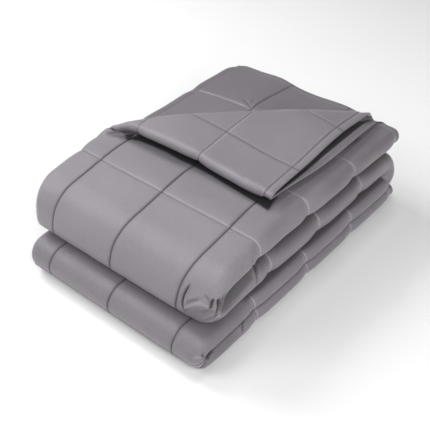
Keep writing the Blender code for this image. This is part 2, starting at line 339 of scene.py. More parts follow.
@dataclass(frozen=True)
class TurnedCorner:
    """The corner that is rolled back over the crease y = x + offset."""

    offset: float = 0.0843
    roll: Line = ((-0.170, 0.0055), (-0.040, 0.0105), (0.100, 0.0105), (0.276, 0.0006))
    flap_lift: float = 0.0040
    tuck: float = 0.0105
    tuck_rise: float = 0.024

    def turn_back(
        self, x: Array, y: Array, z: Array, top: float, fold: BookFold, reach: float
    ) -> tuple[Array, ...]:
        """Rolls what lies beyond the crease up and over, back onto the pile.

        Args:
            x, y, z: places of the cloth before the corner is turned.
            top: the height of the pile's top.
            fold: the fold in four, for its pitch and left side.
            reach: how far in from the left side the tuck is felt.

        Returns:
            The places after it is turned, as x, y and z.
        """
        beyond = (y - x - self.offset) * ROOT_HALF
        along_crease = (x + y) * ROOT_HALF
        lift = eased(along_crease, self.roll)
        radius = lift + fold.pitch
        start = -math.pi * radius / 2
        depth = top + lift - z
        angle = np.clip((beyond - start) / radius, 0.0, math.pi)
        past = np.maximum(beyond - start - math.pi * radius, 0.0)
        settled = np.maximum(lift - self.flap_lift, 0.0) * smoothstep(past / fold.cloth.square)
        rolled = beyond > start
        new_beyond = np.where(rolled, start + depth * np.sin(angle) - past, beyond)
        new_z = np.where(rolled, top + lift - depth * np.cos(angle) - 2 * settled, z)
        new_x = (along_crease - new_beyond) * ROOT_HALF - self.offset / 2
        new_y = (along_crease + new_beyond) * ROOT_HALF + self.offset / 2
        raised = smoothstep((new_z - top) / self.tuck_rise)
        inward = self.tuck * raised * smoothstep((fold.left_axis + reach - new_x) / reach)
        return new_x + inward, new_y, new_z


@dataclass(frozen=True)
class Settling:
    """How the pile has settled: its top slopes to the front, and its lowest strips lie askew."""

    droop: float = 0.0140
    droop_y: Pair = (-0.118, -0.235)
    droop_x: Pair = (0.200, 0.080)
    droop_right: float = 0.65
    droop_z: Pair = (0.054, 0.086)
    lip: float = 0.0070
    lip_y: Pair = (-0.150, -0.215)
    lip_z: Triple = (0.052, 0.068, 0.112)
    askew: float = 0.0080
    askew_y: Pair = (0.250, -0.260)
    askew_z: Pair = (0.066, 0.050)

    def settle(self, x: Array, y: Array, z: Array) -> tuple[Array, Array, Array]:
        """Moves each place of the pile to where it has settled.

        Args:
            x, y, z: places in the pile as it was folded.

        Returns:
            The settled places, as x, y and z.
        """
        level = self.droop_right + (1 - self.droop_right) * between(x, self.droop_x)
        droop = self.droop * level * between(y, self.droop_y) * between(z, self.droop_z)
        below, peak, above = self.lip_z
        lip = self.lip * between(y, self.lip_y) * between(z, (below, peak))
        lip = lip * between(z, (above, peak))
        back, front = self.askew_y
        askew = self.askew * np.clip((y - back) / (front - back), 0.0, 1.0)
        return x + askew * between(z, self.askew_z), y - lip, z - droop


@dataclass(frozen=True)
class Tug:
    """A soft pull on one place of the flat cloth.

    reach is how far it is felt along u and v, and move how far the cloth goes in the pile.
    """

    place: Pair
    reach: Pair
    move: Triple

    def pull(self, u: Array, v: Array) -> Array:
        """How far each place on the flat cloth is moved in the pile."""
        (place_u, place_v), (reach_u, reach_v) = self.place, self.reach
        gap = ((u - place_u) / reach_u) ** 2 + ((v - place_v) / reach_v) ** 2
        return np.exp(-gap)[:, None] * np.array(self.move)


@dataclass(frozen=True)
class Nudge:
    """A soft push on the pile round one place. reach is how far it is felt each way."""

    place: Triple
    reach: Triple
    move: Triple

    def push(self, points: Array) -> Array:
        """How far each point of the pile is moved."""
        gap = (((points - self.place) / self.reach) ** 2).sum(axis=1)
        return np.exp(-gap)[:, None] * np.array(self.move)


@dataclass(frozen=True)
class Handling:
    """What handling has done to the pile: cloth dragged, corners pulled in and edges puffed."""

    tugs: tuple[Tug, ...] = (
        Tug((0.680, 0.135), (0.030, 0.070), (0.0, 0.004, 0.002)),
        Tug((0.500, 0.0), (0.120, 0.050), (0.012, 0.0, -0.004)),
        Tug((0.370, 0.0), (0.050, 0.050), (0.005, 0.002, 0.002)),
        Tug((1.285, 0.0), (0.035, 0.050), (0.0, 0.005, 0.002)),
        Tug((1.135, 0.0), (0.050, 0.060), (0.0, 0.007, 0.003)),
        Tug((1.389, 0.0), (0.018, 0.018), (0.007, -0.007, -0.002)),
        Tug((1.260, 0.150), (0.160, 0.090), (0.0, 0.011, 0.0)),
    )
    nudges: tuple[Nudge, ...] = (
        Nudge((0.0, -0.068, 0.143), (0.60, 0.060, 0.020), (-0.009, 0.0, 0.0)),
        Nudge((0.0, -0.142, 0.140), (0.60, 0.040, 0.030), (0.0, 0.004, 0.0)),
        Nudge((-0.050, 0.150, 0.130), (0.100, 0.070, 0.020), (0.0, 0.004, 0.009)),
        Nudge((0.140, 0.205, 0.168), (0.045, 0.050, 0.020), (0.003, 0.003, 0.003)),
        Nudge((0.178, -0.235, 0.075), (0.020, 0.030, 0.020), (0.006, 0.0, 0.004)),
        Nudge((0.175, -0.262, 0.010), (0.030, 0.030, 0.020), (0.0, 0.001, 0.002)),
    )

    def handle(self, u: Array, v: Array, points: Array) -> Array:
        """Moves the pile's points.

        Args:
            u, v: the flat place of each point.
            points: where each lies in the settled pile.

        Returns:
            The moved points.
        """
        for tug in self.tugs:
            points = points + tug.pull(u, v)
        for nudge in self.nudges:
            points = points + nudge.push(points)
        return points


def run_to(u: Array, v: Array, line: Sequence[Pair]) -> tuple[Array, Array]:
    """Measures the flat cloth against a bent line.

    Args:
        u, v: places on the flat cloth.
        line: the line's corners.

    Returns:
        How far each place is from the line, and how far along it, from 0 to 1.
    """
    nearest = np.full_like(u, FAR_OFF)
    share = np.zeros_like(u)
    lengths = [math.dist(first, last) for first, last in zip(line, line[1:])]
    passed = 0.0
    for (first, last), length in zip(zip(line, line[1:]), lengths):
        step = np.subtract(last, first) / length
        run = np.clip((u - first[0]) * step[0] + (v - first[1]) * step[1], 0.0, length)
        gap = np.hypot(u - first[0] - run * step[0], v - first[1] - run * step[1])
        closer = gap < nearest
        nearest = np.where(closer, gap, nearest)
        share = np.where(closer, (passed + run) / sum(lengths), share)
        passed += length
    return nearest, share


@dataclass(frozen=True)
class Wrinkle:
    """A crease in the cloth, along a line on the flat cloth.

    width is its half-width, dark how dark the painted shade along its bottom is and light how pale
    the painted highlight along it is. A depth below 0 stands proud. lips is how far the cloth
    stands up on both sides, as a share of the depth; lip_place, lip_width and mark_width count
    half-widths. fade is the share of the line over which the crease dies out at each end.
    """

    line: Line
    width: float
    depth: float
    dark: float = 0.0
    light: float = 0.0
    lips: float = 0.3
    fade: float = 0.22
    lip_place: float = 2.1
    lip_width: float = 0.8
    mark_width: float = 0.85

    def measure(self, u: Array, v: Array) -> tuple[Array, Array]:
        """How far each place is from the crease's line, and how strong the crease is there."""
        gap, share = run_to(u, v, self.line)
        return gap, smoothstep(np.minimum(share, 1 - share) / self.fade)

    def press(self, u: Array, v: Array) -> Array:
        """How far the cloth is pressed in at each place."""
        gap, strength = self.measure(u, v)
        groove = np.exp(-((gap / self.width) ** 2))
        beside = gap - self.lip_place * self.width
        lip = np.exp(-((beside / (self.lip_width * self.width)) ** 2))
        return self.depth * strength * (groove - self.lips * lip)

    # The mark sets where the crease's painted shade and painted highlight lie.
    def mark(self, u: Array, v: Array) -> Array:
        """1 along the crease's bottom, and 0 beside it."""
        gap, strength = self.measure(u, v)
        return strength * np.exp(-((gap / (self.mark_width * self.width)) ** 2))


@dataclass(frozen=True)
class Patch:
    """A rectangle of the flat cloth whose faces are cut finer, for the creases in it."""

    u: Pair
    v: Pair
    cuts: int

    def holds(self, u: Array, v: Array) -> Array:
        """Which places lie in the rectangle."""
        return (self.u[0] < u) & (u < self.u[1]) & (self.v[0] < v) & (v < self.v[1])


@dataclass(frozen=True)
class Band:
    """A band along a bent line on the flat cloth whose faces are cut finer, for a tight roll."""

    line: Line
    reach: float
    cuts: int

    def holds(self, u: Array, v: Array) -> Array:
        """Which places lie in the band."""
        return run_to(u, v, self.line)[0] < self.reach


def rectangle(u: Pair, v: Pair) -> Line:
    """The corners of a rectangle on the flat cloth."""
    return ((u[0], v[0]), (u[0], v[1]), (u[1], v[1]), (u[1], v[0]))


@dataclass(frozen=True)
class PaintedShade:
    """Painted shade on cloth deep in a fold or under the turned corner, kept darker: its outline
    when flat.
    """

    outline: Line
    tone: float
    soft: float = 0.0015
    side: Face = Face.OUTER

    def share(self, u: Array, v: Array) -> Array:
        """1 inside the outline and 0 outside it, with a narrow soft edge."""
        inside = np.zeros(len(u), bool)
        closed = (*self.outline, self.outline[0])
        for (u0, v0), (u1, v1) in zip(closed, closed[1:]):
            if v0 == v1:
                continue
            crosses = (v0 > v) != (v1 > v)
            inside ^= crosses & (u < (u1 - u0) * (v - v0) / (v1 - v0) + u0)
        gap, _ = run_to(u, v, closed)
        return smoothstep(0.5 + np.where(inside, gap, -gap) / self.soft / 2)


@dataclass(frozen=True)
class Pile:
    """The folded pile: it takes any place on the flat cloth to where it lies."""

    cloth: Cloth
    fold: BookFold
    concertina: Concertina
    corner: TurnedCorner = TurnedCorner()
    settling: Settling = Settling()
    handling: Handling = Handling()
    slips: tuple[tuple[Layer, float, float], ...] = (
        (Layer.FOURTH, 0.004, -0.021),
        (Layer.FIRST, -0.024, -0.010),
        (Layer.SECOND, -0.010, -0.030),
        (Layer.THIRD, -0.004, 0.022),
    )
    left_in: Line = (
        (0.0, 0.0), (0.44, 0.0), (0.50, 0.014), (0.53, 0.023), (0.56, 0.012), (0.62, 0.0),
        (1.40, 0.0), (1.50, 0.005), (2.01, 0.005),
    )
    right_in: Line = (
        (0.0, 0.006), (0.30, 0.0), (0.64, 0.0), (1.10, 0.006), (1.48, 0.008), (2.01, 0.008),
    )
    turned_in: Line = ((0.0, 0.0035), (0.28, 0.0035), (0.36, 0.0))
    edge_reach: float = 0.070
    centre: Triple = (-0.0002, -0.0042, 0.0)
    pinch: float = 0.0042
    pinch_reach: float = 0.026
    pinch_length: float = 0.013
    sink: float = 0.0020
    splay: float = 0.010
    splay_run: float = 0.20
    sink_y: Pair = (0.092, 0.227)
    puff: float = 0.35

    def slip(self, u: Array) -> Array:
        """How far the cloth at u has slipped along the top strip, at its end."""
        spans = self.fold.spans()
        places: list[float] = []
        amounts: list[float] = []
        for layer, first, last in self.slips:
            places += spans[layer]
            amounts += [first, last]
        return np.interp(u, places, amounts)

    def turned_share(self, u: Array, v: Array) -> Array:
        """1 on the two layers that the corner turns back, 0 on the others, between in wraps."""
        spans = self.fold.spans()
        outer, inner = spans[Layer.OUTER_WRAP], spans[Layer.INNER_WRAP]
        rising = smoothstep((u - outer[0]) / (outer[1] - outer[0]))
        falling = smoothstep((inner[1] - u) / (inner[1] - inner[0]))
        return np.where(v < self.concertina.top_run, rising * falling, 0.0)

    def pinched(self, x: Array, v: Array) -> Array:
        """How far the strip's sides are pulled in at its seams, and puffed out between them."""
        step = (v - self.cloth.hem) / self.cloth.square
        gap = np.abs(step - np.round(step)) * self.cloth.square
        pull = self.pinch * (np.exp(-((gap / self.pinch_length) ** 2)) - self.puff)
        right = smoothstep((x - self.fold.right_axis + self.pinch_reach) / self.pinch_reach / 2)
        left = smoothstep((self.fold.left_axis + self.pinch_reach - x) / self.pinch_reach / 2)
        return pull * (left - right)

    def lay(self, u: Array, v: Array, offset: Array) -> Array:
        """Takes the cloth through every fold.

        Args:
            u, v: places on the flat cloth.
            offset: how far out from the cloth's middle, towards its outer face.

        Returns:
            One row of x, y and z for each place.
        """
        axis, reach, height, normal_x, normal_t = self.fold.section(u)
        y, z, up_y, up_z, pitch, shift = self.concertina.path(v)
        top_run = self.concertina.top_run
        y = y + self.slip(u) * np.clip(1 - v / top_run, 0.0, 1.0)
        squeezed = offset * np.minimum(1.0, self.cloth.loft_share * pitch / self.cloth.loft)
        rise = height * pitch + squeezed * normal_t
        x = axis + reach * pitch + squeezed * normal_x
        leftmost = smoothstep((self.fold.left_axis + self.edge_reach - x) / self.edge_reach)
        rightmost = smoothstep((x - self.fold.right_axis + self.edge_reach) / self.edge_reach)
        share = self.turned_share(u, v)
        left_in = eased(v, self.left_in) + eased(v, self.turned_in) * share
        x = x + shift + left_in * leftmost - eased(v, self.right_in) * rightmost
        x = x + self.pinched(x - shift, v)
        third = self.fold.spans()[Layer.THIRD]
        across_third = np.clip((u - third[0]) / (third[1] - third[0]), 0.0, 1.0)
        x = x - self.splay * across_third * np.clip(1 - v / self.splay_run, 0.0, 1.0)
        y, z = y + up_y * rise, z + up_z * rise
        top = self.concertina.heights()[0] + 2 * self.fold.pitch
        turned = self.corner.turn_back(x, y, z, top, self.fold, self.edge_reach)
        x, y, z = (old + (new - old) * share for new, old in zip(turned, (x, y, z)))
        sinking = np.where(v < top_run, self.sink, 0.0)
        z = z - sinking * between(y, self.sink_y)
        placed = np.stack(self.settling.settle(x, y, z), axis=1)
        return self.handling.handle(u, v, placed) - self.centre


Number = Union[float, "Reading"]


@dataclass(frozen=True)
class Reading:
    """A number that changes from point to point: a socket in a tree. Sums add math nodes."""

    tree: Tree
    socket: Socket

    def math(self, operation: str, *others: Number) -> "Reading":
        """Adds one math node.

        Args:
            operation: the node's operation.
            others: its second and third values, if it takes them.

        Returns:
            The node's result.
        """
        node = self.tree.nodes.new("ShaderNodeMath")
        node.operation = operation
        for place, value in enumerate((self, *others)):
            feed(self.tree, node.inputs[place], value)
        return Reading(self.tree, node.outputs[0])

    def __add__(self, other: Number) -> "Reading":
        """The sum."""
        return self.math("ADD", other)

    def __sub__(self, other: Number) -> "Reading":
        """The difference."""
        return self.math("SUBTRACT", other)

    def __mul__(self, other: Number) -> "Reading":
        """The product."""
        return self.math("MULTIPLY", other)

    def __truediv__(self, other: Number) -> "Reading":
        """The quotient."""
        return self.math("DIVIDE", other)

    def fading(self, reach: Number) -> "Reading":
        """1 where this is 0, falling to about a third over each reach."""
        return (self / reach * -1.0).math("EXPONENT")


Sizes = dict[str, Reading]


def feed(tree: Tree, socket: Socket, value: object) -> None:
    """Gives a node's input a link or a plain value.

    Args:
        tree: the tree that holds the node.
        socket: the input.
        value: a Reading, an output socket, or a plain value.
    """
    if isinstance(value, Reading):
        tree.links.new(value.socket, socket)
    elif isinstance(value, Socket):
        tree.links.new(value, socket)
    else:
        socket.default_value = value


def node_of(tree: Tree, kind: str, inputs: Optional[dict] = None, **settings: object) -> Node:
    """Adds a node.

    Args:
        tree: the tree it joins.
        kind: the node's type.
        inputs: what feeds its inputs, by name or place.
        settings: the node's own properties.

    Returns:
        The node.
    """
    node = tree.nodes.new(kind)
    for name, value in settings.items():
        setattr(node, name, value)
    for name, value in (inputs or {}).items():
        feed(tree, node.inputs[name], value)
    return node


def noise(tree: Tree, x: Number, y: Number, z: Number, detail: float = 2.0) -> Reading:
    """A soft random number around 0, the same on every run.

    Args:
        tree: the tree it is read in.
        x, y, z: where it is read; it changes over about 1 of each.
        detail: how many finer octaves it has.

    Returns:
        A value from about -0.5 to 0.5.
    """
    place = node_of(tree, "ShaderNodeCombineXYZ", {0: x, 1: y, 2: z})
    inputs = {"Vector": place.outputs[0], "Scale": 1.0, "Detail": detail}
    found = node_of(tree, "ShaderNodeTexNoise", inputs, noise_dimensions="3D")
    return Reading(tree, found.outputs[0]) - 0.5


def parts_of(tree: Tree, vector: Socket) -> list[Reading]:
    """The x, y and z of a vector."""
    split = node_of(tree, "ShaderNodeSeparateXYZ", {0: vector})
    return [Reading(tree, split.outputs[k]) for k in range(3)]


def mixed(tree: Tree, factor: object, first: object, second: object, way: str = "MIX") -> Socket:
    """Mixes two colours.

    Args:
        tree: the tree it is done in.
        factor: how much of the second there is, from 0 to 1.
        first, second: the colours.
        way: how they are mixed.

    Returns:
        The mixed colour.
    """
    node = node_of(tree, "ShaderNodeMix", data_type="RGBA", blend_type=way)
    for name, value in (("Factor_Float", factor), ("A_Color", first), ("B_Color", second)):
        feed(tree, socket_of(node, name), value)
    return node.outputs["Result"]


def weighted(readings: Sequence[Reading], weights: Sequence[float]) -> Reading:
    """The sum of the readings, each times its weight."""
    first, *others = (reading * weight for reading, weight in zip(readings, weights))
    return sum(others, first)


def close_tree(tree: Tree, made: Socket) -> None:
    """Ends a geometry tree: what is made becomes real and takes the material."""
    real = node_of(tree, "GeometryNodeRealizeInstances", {0: made})
    inputs = {"Geometry": real.outputs[0], "Material": tree.nodes["in"].outputs["Material"]}
    dressed = node_of(tree, "GeometryNodeSetMaterial", inputs)
    tree.links.new(dressed.outputs[0], tree.nodes["out"].inputs[0])


@dataclass
class QuiltTree:
    """The node tree that quilts the flat cloth, and marks where painted shade falls in its seams
    and where painted highlights lie beside them.
    """

    cloth: Cloth
    channel: float = 0.0014
    pucker_depth: float = 0.0016
    pucker_pitch: float = 0.0085
    pucker_reach: float = 0.0130
    unevenness: float = 0.0011
    lump: float = 0.034
    # line is the width of the painted shade along the seams of constant u; the next three give the
    # width, painted shade and painted highlight of those of constant v.
    line: float = 0.0012
    cross_line: float = 0.0008
    cross_dark: float = 0.48
    cross_light: float = 0.62
    seed: int = 11
    pucker_stretch: float = 3.0
    pucker_detail: float = 1.5
    seam_jump: float = 7.3
    lump_detail: float = 3.0
    hem_round: float = 0.0016
    hem_edge: float = 0.25
    hem_slack: float = 0.0001
    # How many widths the painted highlight lies beside its seam.
    light_gap: float = 2.4

    def inputs(self) -> dict[str, float]:
        """The tree's named sizes."""
        cloth = self.cloth
        return {
            "Square": cloth.square,
            "Hem": cloth.hem,
            "Columns": float(cloth.columns),
            "Rows": float(cloth.rows),
            "Loft": cloth.loft,
            "Seam Thickness": cloth.seam_thickness,
            "Hem Thickness": cloth.hem_thickness,
            "Channel": self.channel,
            "Pucker Depth": self.pucker_depth,
            "Pucker Pitch": self.pucker_pitch,
            "Pucker Reach": self.pucker_reach,
            "Unevenness": self.unevenness,
            "Lump": self.lump,
            "Line": self.line,
            "Cross Line": self.cross_line,
            "Cross Dark": self.cross_dark,
            "Cross Light": self.cross_light,
            "Seed": float(self.seed),
        }

    def build(self) -> Tree:
        """Builds the tree.

        Returns:
            A tree that takes the flat cloth and a material, and gives the quilted cloth.
        """
        tree = new_tree("quilting", self.inputs())
        entry = tree.nodes["in"]
        size = {name: Reading(tree, entry.outputs[name]) for name in self.inputs()}
        u, v, _ = parts_of(tree, node_of(tree, "GeometryNodeInputPosition").outputs[0])
        kind = "GeometryNodeInputNamedAttribute"
        face = Reading(tree, node_of(tree, kind, {"Name": "face"}, data_type="FLOAT").outputs[0])
        across, seam_u = self.to_seam(u, size, "Columns")
        along, seam_v = self.to_seam(v, size, "Rows")
        full = self.swell(across, size) * self.swell(along, size)
        seam, loft = size["Seam Thickness"], size["Loft"]
        thick = seam + (loft - seam) * full
        folds = self.puckers(u, v, across, along, seam_u, size)
        folds = folds + self.puckers(v, u, along, across, seam_v, size)
        lump, seed = size["Lump"], size["Seed"] + face
        lumps = noise(tree, u / lump, v / lump, seed, self.lump_detail) * size["Unevenness"]
        half = thick / 2.0 + folds * full + lumps * full
        margin = self.margin(u, v, size)
        edge = (margin / self.hem_round).math("MINIMUM", 1.0).math("POWER", 0.5)
        hem_half = (size["Hem Thickness"] / 2.0) * (edge * (1.0 - self.hem_edge) + self.hem_edge)
        outside = margin.math("LESS_THAN", size["Hem"] - self.hem_slack)
        height = (half + (hem_half - half) * outside) * face
        moved = node_of(tree, "ShaderNodeCombineXYZ", {2: height})
        inputs = {"Geometry": entry.outputs["Cloth"], "Offset": moved.outputs[0]}
        shaped = node_of(tree, "GeometryNodeSetPosition", inputs)
        # Painted shade along the seams, and a painted highlight beside the seams of constant v,
        # kept on the points.
        cross = size["Cross Line"]
        dark = across.fading(size["Line"]) + along.fading(cross) * size["Cross Dark"]
        beside = (along - cross * self.light_gap).math("ABSOLUTE")
        light = beside.fading(cross) * size["Cross Light"]
        marked = self.mark(tree, shaped.outputs[0], "hollow", dark.math("MINIMUM", 1.0))
        marked = self.mark(tree, marked, "painted_highlight", light)
        close_tree(tree, marked)
        return tree

    def to_seam(self, place: Reading, size: Sizes, count: str) -> tuple[Reading, Reading]:
        """How far each point is from the nearest seam of one direction, and that seam's number."""
        step = (place - size["Hem"]) / size["Square"]
        nearest = step.math("ROUND").math("MAXIMUM", 0.0).math("MINIMUM", size[count])
        return (step - nearest).math("ABSOLUTE") * size["Square"], nearest

    def swell(self, distance: Reading, size: Sizes) -> Reading:
        """How full the quilt is at a distance from a seam."""
        return distance.fading(size["Channel"]) * -1.0 + 1.0

    def puckers(
        self,
        place: Reading,
        other: Reading,
        near: Reading,
        cross: Reading,
        seam: Reading,
        size: Sizes,
    ) -> Reading:
        """The small folds that run in from one direction's seams.

        Args:
            place, other: the point's place across those seams and along them.
            near, cross: how far it is from them, and from the seams that cross them.
            seam: the number of the nearest one.
            size: the tree's named sizes.

        Returns:
            How far out the folds move each point.
        """
        reach = size["Pucker Reach"]
        in_from = place / (reach * self.pucker_stretch)
        beside = other / size["Pucker Pitch"]
        own = seam * self.seam_jump + size["Seed"]
        row = noise(place.tree, in_from, beside, own, self.pucker_detail)
        return row * size["Pucker Depth"] * near.fading(reach) * self.swell(cross, size)

    def margin(self, u: Reading, v: Reading, size: Sizes) -> Reading:
        """How far each point is from the cloth's cut edge."""
        found = []
        for place, count in ((u, "Columns"), (v, "Rows")):
            whole = size["Square"] * size[count] + size["Hem"] * 2.0
            found.append(place.math("MINIMUM", whole - place))
        return found[0].math("MINIMUM", found[1]).math("MAXIMUM", 0.0)

    def mark(self, tree: Tree, geometry: Socket, name: str, value: Reading) -> Socket:
        """Keeps a value on the points, for the finish to read."""
        inputs = {"Geometry": geometry, "Name": name, "Value": value}
        kind = "GeometryNodeStoreNamedAttribute"
        return node_of(tree, kind, inputs, data_type="FLOAT", domain="POINT").outputs[0]


@dataclass
class StitchTree:
    """The node tree that sews a bent length of thread at every step of the seam lines."""

    pitch: float = 0.0036
    stitch: float = 0.0026
    thread: float = 0.00026
    arch: float = 0.0004
    sides: int = 4
    seed: int = 5
    uneven: Pair = (0.86, 1.08)

    def inputs(self) -> dict[str, float]:
        """The tree's named sizes."""
        return {
            "Pitch": self.pitch,
            "Stitch": self.stitch,
            "Thread": self.thread,
            "Arch": self.arch,
        }

    def build(self) -> Tree:
        """Builds the tree.

        Returns:
            A tree that takes the seam lines and a material, and gives the sewn thread.
        """
        tree = new_tree("stitching", self.inputs())
        entry = tree.nodes["in"]
        size = {name: Reading(tree, entry.outputs[name]) for name in self.inputs()}
        curve = node_of(tree, "GeometryNodeMeshToCurve", {"Mesh": entry.outputs["Cloth"]})
        inputs = {"Curve": curve.outputs[0], "Length": size["Pitch"]}
        steps = node_of(tree, "GeometryNodeCurveToPoints", inputs, mode="LENGTH")
        half = size["Stitch"] / 2.0
        start, middle, end = (
            node_of(tree, "ShaderNodeCombineXYZ", inputs).outputs[0]
            for inputs in (
                {0: half * -1.0, 2: size["Arch"] * -1.0},
                {2: size["Arch"]},
                {0: half, 2: size["Arch"] * -1.0},
            )
        )
        inputs = {"Resolution": 2, "Start": start, "Middle": middle, "End": end}
        bent = node_of(tree, "GeometryNodeCurveQuadraticBezier", inputs)
        inputs = {"Resolution": self.sides, "Radius": size["Thread"]}
        ring = node_of(tree, "GeometryNodeCurvePrimitiveCircle", inputs, mode="RADIUS")
        inputs = {"Curve": bent.outputs[0], "Profile Curve": ring.outputs[0], "Fill Caps": True}
        thread = node_of(tree, "GeometryNodeCurveToMesh", inputs)
        kind, inputs = "FunctionNodeAlignRotationToVector", {"Vector": steps.outputs["Tangent"]}
        facing = node_of(tree, kind, inputs, axis="X", pivot_axis="Z")
        uneven = node_of(tree, "FunctionNodeRandomValue", data_type="FLOAT")
        least, most = self.uneven
        for name, value in (("Min_001", least), ("Max_001", most), ("Seed", self.seed)):
            socket_of(uneven, name).default_value = value
        inputs = {
            "Points": steps.outputs[0],
            "Instance": thread.outputs[0],
            "Rotation": facing.outputs[0],
            "Scale": uneven.outputs[1],
        }
        sewn = node_of(tree, "GeometryNodeInstanceOnPoints", inputs)
        close_tree(tree, sewn.outputs[0])
        return tree


def socket_of(node: Node, identifier: str) -> Socket:
    """A node's input by its identifier, where others share its name."""
    return next(socket for socket in node.inputs if socket.identifier == identifier)


def new_tree(name: str, sizes: dict[str, float]) -> Tree:
    """Starts a geometry tree.

    Args:
        name: the tree's name.
        sizes: its named sizes and their usual values.

    Returns:
        The tree, with its group input and output in place.
    """
    tree = bpy.data.node_groups.new(name, "GeometryNodeTree")

    def add(label: str, way: str, kind: str) -> bpy.types.NodeTreeInterfaceSocket:
        """Adds one named input or output."""
        return tree.interface.new_socket(name=label, in_out=way, socket_type="NodeSocket" + kind)

    add("Cloth", "INPUT", "Geometry")
    for label, value in sizes.items():
        add(label, "INPUT", "Float").default_value = value
    add("Material", "INPUT", "Material")
    add("Made", "OUTPUT", "Geometry")
    node_of(tree, "NodeGroupInput", name="in")
    node_of(tree, "NodeGroupOutput", name="out")
    return tree


def add_piece(name: str, data: bpy.types.ID) -> Piece:
    """Puts an object with that data in the scene, at the origin."""
    added = bpy.data.objects.new(name, data)
    bpy.context.collection.objects.link(added)
    return added


def grow(flat: Mesh, tree: Tree, values: dict[str, object], name: str) -> Mesh:
    """Runs a tree on a flat mesh and keeps the result as a plain mesh.

    Args:
        flat: the mesh it starts from.
        tree: the geometry tree.
        values: the tree's inputs by name.
        name: the new mesh's name.

    Returns:
        The mesh, with no modifier behind it.
    """
    holder = add_piece(name + "_flat", flat)
    modifier = holder.modifiers.new("grow", "NODES")
    modifier.node_group = tree
    for item in tree.interface.items_tree:
        if item.item_type == "SOCKET" and item.in_out == "INPUT" and item.name in values:
            modifier[item.identifier] = values[item.name]
    graph = bpy.context.evaluated_depsgraph_get()
    made = bpy.data.meshes.new_from_object(holder.evaluated_get(graph))
    made.name = name
    holder.modifiers.remove(modifier)
    bpy.data.objects.remove(holder, do_unlink=True)
    bpy.data.meshes.remove(flat)
    return made


def points_of(mesh: Mesh) -> Array:
    """Every point of a mesh, one row each."""
    points = np.empty(len(mesh.vertices) * 3, np.float32)
    mesh.vertices.foreach_get("co", points)
    return points.reshape(-1, 3).astype(float)


def put_points(mesh: Mesh, points: Array) -> None:
    """Moves every point of a mesh.

    Args:
        mesh: the mesh.
        points: one row for each of its points.
    """
    mesh.vertices.foreach_set("co", points.astype(np.float32).ravel())
    mesh.update()


def read_mark(mesh: Mesh, name: str) -> Array:
    """The number of that name that each point of a mesh carries."""
    values = np.empty(len(mesh.vertices), np.float32)
    mesh.attributes[name].data.foreach_get("value", values)
    return values.astype(float)


def write_mark(mesh: Mesh, name: str, values: Array) -> None:
    """Keeps a number on each point of a mesh, under a name.

    Args:
        mesh: the mesh.
        name: the number's name; it is made if the mesh has none.
        values: one number for each point.
    """
    kept = mesh.attributes.get(name) or mesh.attributes.new(name, "FLOAT", "POINT")
    kept.data.foreach_set("value", values.astype(np.float32))


def show(mesh: Mesh, name: str) -> Piece:
    """Puts a mesh in the scene as a smooth object at the origin."""
    mesh.shade_smooth()
    return add_piece(name, mesh)


def shader_tree(name: str) -> tuple[Material, Tree, Node]:
    """Starts a material.

    Args:
        name: the material's name.

    Returns:
        The material, its tree and its shader.
    """
    material = bpy.data.materials.new(name)
    material.use_nodes = True
    tree = material.node_tree
    return material, tree, tree.nodes["Principled BSDF"]


